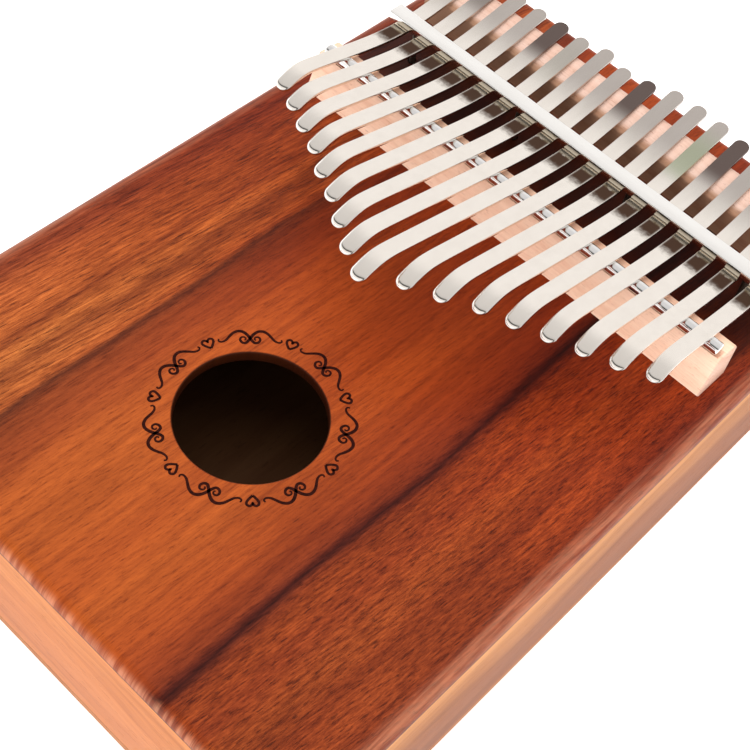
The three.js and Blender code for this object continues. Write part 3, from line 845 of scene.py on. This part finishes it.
def build_tine(number):
    label = f"tine_{number:02d}"
    tip, rear_end = TIP_YS[number - 1], REAR_END_YS[number - 1]
    middle_x = (number - MIDDLE_TINE) * TINE_PITCH
    spots = tine_outline(rear_end - tip)

    def place(u, v, share, drop):
        y = tip + u
        slope = (tine_top(y + 0.01, tip) - tine_top(y - 0.01, tip)) / 0.02
        length = hypot(1, slope)
        depth = share * TINE_THICKNESS + drop
        front_twist = TWISTS[number - 1] * smooth_step((ROD_Y - y) / 40)
        rear_twist = REAR_TWISTS[number - 1] * smooth_step((y - BAR_BACK_Y) / 12)
        twist = radians(front_twist + rear_twist)
        return (
            middle_x + v * cos(twist) - depth * sin(twist),
            BRIDGE_Y + y + depth * slope / length,
            BOX_HEIGHT + tine_top(y, tip) - v * sin(twist) - depth / length,
        )

    points, along, dark_reflection, green = [], [], [], []
    for rounding, share, rolled_over in TINE_RINGS:
        for side in (1, -1):
            for u, w, (nu, nw) in spots if side == 1 else reversed(spots):
                reach = TIP_ROLL * (1 - smooth_step((u - TIP_ROLL_START) / TIP_ROLL_FADE))
                inset = rounding + (1 - rolled_over) * reach
                drop = TIP_ROLL_SLOPE * reach * rolled_over**3 / 3
                points.append(place(u - inset * nu, side * (w - inset * nw), share, drop))
                along.append(u - inset * nu)
                # Painted reflection on the rear end: a dark haze on all, darker on some tines, green on a few
                behind = tip + u - BAR_BACK_Y
                dark = REAR_DARK_REFLECTION_TINES.get(number, 0.0) * smooth_step((behind - 7) / 9)
                dark_reflection.append(max(dark, REAR_REFLECTION_HAZE * smooth_step((behind - 2) / 14)))
                middle_part = smooth_step((behind - 5) / 6) * smooth_step((26 - behind) / 10)
                green.append(REAR_GREEN_REFLECTION_TINES.get(number, 0.0) * middle_part)
    ring = 2 * len(spots)
    faces = []
    for tier in range(len(TINE_RINGS) - 1):
        for i in range(ring):
            j = (i + 1) % ring
            a, b = tier * ring, (tier + 1) * ring
            faces.append((a + i, a + j, b + j, b + i))
    for base, flip in ((0, False), ((len(TINE_RINGS) - 1) * ring, True)):
        for i in range(len(spots) - 1):
            quad = (base + i, base + ring - 1 - i, base + ring - 2 - i, base + i + 1)
            faces.append(tuple(reversed(quad)) if flip else quad)
    mesh = mesh_from(label + "_steel", points, faces)
    for key, values in (("along", along), ("dark_reflection", dark_reflection), ("green", green)):
        mesh.attributes.new(key, "FLOAT", "POINT").data.foreach_set("value", values)
    piece = add_piece(label + "_steel", mesh, TINE_STEEL, body=None, sharp=40)
    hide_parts(label, label + "_root")
    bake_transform(piece)


for number in range(1, TINE_COUNT + 1):
    build_tine(number)


# ---------------------------------------------------------------- screws
THREAD_PITCH = 0.5
THREAD_DEPTH = 0.22
SCREW_RADIUS = 0.8
SCREW_STEPS = 18
BRACE_HEIGHT = 8
WASHER_THICKNESS = 0.8
SCREW_DEPTH_IN_BAR = 1.3
# Pan head hanging inside the box, from the floor of its drive recess out to its seat: (radius, height)
SCREW_HEAD = [(0.7, -1.15), (1.5, -1.8), (1.9, -1.72), (2.5, -1.2), (2.75, -0.8), (2.8, -0.4), (2.8, 0.0)]
head_top = board_low - BRACE_HEIGHT - WASHER_THICKNESS
screw_tip = bar_low + SCREW_DEPTH_IN_BAR


def build_screw(number, x):
    bm = bmesh.new()
    rows = int((screw_tip - head_top) / THREAD_PITCH * 8)
    loops = [[(radius, head_top + dz)] * SCREW_STEPS for radius, dz in SCREW_HEAD]
    for row in range(rows + 1):
        z = head_top + (screw_tip - head_top) * row / rows
        loop = []
        for i in range(SCREW_STEPS):
            phase = (z / THREAD_PITCH - i / SCREW_STEPS) % 1.0
            tooth = abs(2 * phase - 1)
            fade = min(1.0, (screw_tip - z) / 1.2) * min(1.0, (z - head_top) / 0.6)
            loop.append((SCREW_RADIUS - THREAD_DEPTH * tooth * fade, z))
        loops.append(loop)
    made = [
        [
            bm.verts.new(
                Vector((x + r * cos(2 * pi * i / SCREW_STEPS), SCREW_Y + r * sin(2 * pi * i / SCREW_STEPS), z)) * MM
            )
            for i, (r, z) in enumerate(loop)
        ]
        for loop in loops
    ]
    for lower, upper in zip(made, made[1:]):
        for i in range(SCREW_STEPS):
            j = (i + 1) % SCREW_STEPS
            bm.faces.new((lower[i], lower[j], upper[j], upper[i]))
    bm.faces.new(list(reversed(made[0])))
    bm.faces.new(made[-1])
    name = f"bar_screw_{number}"
    piece = add_piece(name + "_steel", mesh_of(name + "_steel", bm), BLACKED, sharp=50)
    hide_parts(name)


for number, x in enumerate(screw_xs, 1):
    build_screw(number, x)

# The washers and the brace inside the box keep their CAD shapes
for name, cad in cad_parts.items():
    if name.startswith("bar_washer") or name == "bridge_brace":
        cad.data.materials.clear()
        cad.data.materials.append(SIDE_X if name == "bridge_brace" else ZINC)


# ---------------------------------------------------------------- rosette burnt round the sound hole
RING_RADIUS = 18.3
REPEATS = 7
FIRST_HEART = radians(163.2)
LINE = 0.52
HEART_LINE = 0.5
HEART_SCALE = 1.05
BURN_DEPTH = 0.05
BURN_RISE = 0.03
STROKE = [
    (-6.0, 0.6), (-6.2, 0.2), (-5.9, -0.15), (-5.35, -0.2), (-4.7, 0.05), (-4.0, 0.65), (-3.2, 1.35),
    (-2.3, 1.75), (-1.45, 1.6), (-0.75, 1.0), (-0.15, 0.15), (0.35, -0.65), (0.95, -1.2), (1.65, -1.05), (2.0, -0.4),
    (1.7, 0.2), (1.1, 0.2), (0.85, -0.25), (1.15, -0.55),
]
HEART = [
    (0, -1.15), (0.55, -0.6), (1.0, 0.1), (1.0, 0.65), (0.55, 0.95), (0.1, 0.65), (0, 0.3),
    (-0.1, 0.65), (-0.55, 0.95), (-1.0, 0.65), (-1.0, 0.1), (-0.55, -0.6), (0, -1.15),
]


def smooth_line(points, samples=7):
    """A Catmull-Rom curve through the points."""
    out = []
    for i in range(len(points) - 1):
        p0 = Vector(points[max(i - 1, 0)])
        p1, p2 = Vector(points[i]), Vector(points[i + 1])
        p3 = Vector(points[min(i + 2, len(points) - 1)])
        for step in range(samples):
            t = step / samples
            out.append(
                0.5 * (2 * p1 + (p2 - p0) * t + (2 * p0 - 5 * p1 + 4 * p2 - p3) * t**2
                       + (3 * p1 - p0 - 3 * p2 + p3) * t**3)
            )
    out.append(Vector(points[-1]))
    return out


def on_ring(angle, point):
    """Tangential and outward offsets from a place on the ring, in plan."""
    along, outward = point
    turned = angle - along / RING_RADIUS
    radius = RING_RADIUS + outward
    return Vector((radius * cos(turned), SOUND_HOLE_Y + radius * sin(turned)))


rosette_points, rosette_faces = [], []


def burn(line, widths):
    """Adds a thin flat bar along the line, from just under the board's face to just over it."""
    first = len(rosette_points)
    for i, spot in enumerate(line):
        ahead = line[min(i + 1, len(line) - 1)] - line[max(i - 1, 0)]
        side = Vector((-ahead.y, ahead.x)).normalized() * widths[i] / 2
        for x, y, z in (
            (*(spot + side), BOX_HEIGHT - BURN_DEPTH), (*(spot + side), BOX_HEIGHT + BURN_RISE),
            (*(spot - side), BOX_HEIGHT + BURN_RISE), (*(spot - side), BOX_HEIGHT - BURN_DEPTH),
        ):
            rosette_points.append((x, y, z))
    for i in range(len(line) - 1):
        for k in range(4):
            a, b = first + 4 * i + k, first + 4 * i + (k + 1) % 4
            rosette_faces.append((a, a + 4, b + 4, b))
    last = first + 4 * (len(line) - 1)
    rosette_faces.append((first, first + 1, first + 2, first + 3))
    rosette_faces.append((last + 3, last + 2, last + 1, last))


def penned(count):
    """Line widths of a pen stroke: thin ends and a full middle."""
    return [LINE * (0.62 + 0.62 * sin(pi * i / (count - 1)) ** 1.5) for i in range(count)]


for repeat in range(REPEATS):
    heart_angle = FIRST_HEART - repeat * 2 * pi / REPEATS
    scroll_angle = heart_angle - pi / REPEATS
    outline = smooth_line(HEART, 5)
    heart = [on_ring(heart_angle, (HEART_SCALE * t, HEART_SCALE * h + 0.3)) for t, h in outline]
    burn(heart, [HEART_LINE] * len(heart))
    stroke = smooth_line(STROKE)
    for mirror in (1, -1):
        line = [on_ring(scroll_angle, (mirror * t, h)) for t, h in stroke]
        burn(line, penned(len(line)))
rosette = add_piece("rosette_line", mesh_from("rosette_line", rosette_points, rosette_faces), BURNT)

# ---------------------------------------------------------------- floor, light and surroundings
floor_mesh = bpy.data.meshes.new("floor")
floor_mesh.from_pydata([(-3, -3, 0), (3, -3, 0), (3, 3, 0), (-3, 3, 0)], [], [(0, 1, 2, 3)])
floor_material, floor_graph = new_material("pale_floor")
speckle = floor_graph.noise(floor_graph.place(), 40.0, 3.0)
floor_graph.finish(
    floor_graph.ramp(speckle, [(0.3, (0.90, 0.90, 0.90)), (0.7, (0.93, 0.93, 0.93))]), 0.9,
    Emission_Color=(1, 1, 1, 1), Emission_Strength=0.45,
)
floor_mesh.materials.append(floor_material)
floor = bpy.data.objects.new("floor", floor_mesh)
floor.location.z = -0.0002
scene.collection.objects.link(floor)

world = bpy.data.worlds.new("studio")
world.use_nodes = True
scene.world = world
w = Graph(world.node_tree)
parts = w.node("ShaderNodeSeparateXYZ")
w.put(parts.inputs[0], w.node("ShaderNodeTexCoord").outputs["Generated"])

# A tent of light that changes with the angle over the box, from the head (0) over the top (90) to the
# tail (180). Its dark strip, 138 to 149, shows as the thin crease at the rolled tips of the tines.
turned = w.math("ARCTAN2", parts.outputs[2], parts.outputs[1])
round_box = w.math("FRACT", w.math("MULTIPLY_ADD", turned, 1 / (2 * pi), 1.0))
WARM = (1.0, 0.965, 0.94)
TENT = [
    (0, 1.0), (14, 1.03), (44, 1.03), (70, 0.86), (118, 0.82), (130, 0.6), (138, 0.02), (149, 0.02), (155, 1.2),
    (185, 1.2), (200, 1.0), (340, 1.0),
]
tent = w.ramp(round_box, [(angle / 360, tuple(level * c for c in WARM)) for angle, level in TENT])
studio = w.node("ShaderNodeBackground")
w.put(studio.inputs[0], tent)

# Only rays from the camera see this plain white backdrop in place of the tent
backdrop = w.node("ShaderNodeBackground")
backdrop.inputs[0].default_value = (1.0, 1.0, 1.0, 1.0)
seen = w.node("ShaderNodeMixShader")
w.put(seen.inputs[0], w.node("ShaderNodeLightPath").outputs["Is Camera Ray"])
w.put(seen.inputs[1], studio.outputs[0])
w.put(seen.inputs[2], backdrop.outputs[0])
w.put(w.node("ShaderNodeOutputWorld").inputs[0], seen.outputs[0])


def softbox(name, place, target, size, watts):
    data = bpy.data.lights.new(name, "AREA")
    data.shape = "RECTANGLE"
    data.size, data.size_y = size
    data.energy = watts
    light = bpy.data.objects.new(name, data)
    light.location = place
    light.rotation_euler = (Vector(target) - Vector(place)).to_track_quat("-Z", "Y").to_euler()
    light.visible_glossy = False
    light.visible_camera = False
    scene.collection.objects.link(light)


softbox("overhead", (-0.1, 0.1, 0.75), (0, 0, 0), (0.9, 0.9), 4.2)
softbox("front", (0.1, -0.8, 0.4), (0, 0, 0.02), (0.7, 0.5), 4.2)
softbox("side", (0.8, 0.1, 0.35), (0, 0, 0.02), (0.5, 0.7), 2.0)
